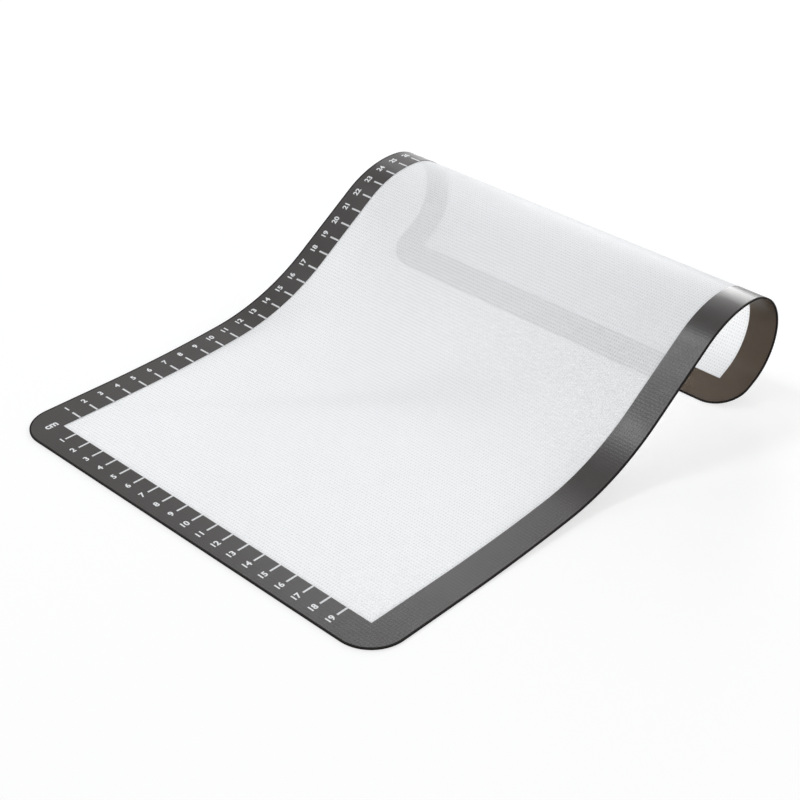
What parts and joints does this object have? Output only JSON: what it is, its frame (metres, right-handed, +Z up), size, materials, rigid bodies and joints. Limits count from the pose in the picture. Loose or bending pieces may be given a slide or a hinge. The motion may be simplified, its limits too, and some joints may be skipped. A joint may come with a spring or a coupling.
{
  "type": "silicone baking mat",
  "caption": "Rectangular silicone baking mat with a dark ruled border, lying flat at one end with the other end lifted in a wave and curled back under.",
  "frame": {"origin": "on the table, under the middle of the mat's bounding box", "axes": "+X across the mat towards the plain side border, +Y along the mat towards the curled end, +Z up"},
  "size_m": [0.236, 0.2874, 0.0611],
  "materials": {
    "glass_cloth": "woven glass fibre cloth",
    "dark_silicone": "satin",
    "clear_silicone": "satin, milky translucent"
  },
  "bodies": {
    "root": {"glass_cloth": "glass_cloth", "upper_border": "dark_silicone", "upper_panel": "clear_silicone", "lower_border": "dark_silicone", "lower_panel": "clear_silicone"}
  },
  "joints": []
}
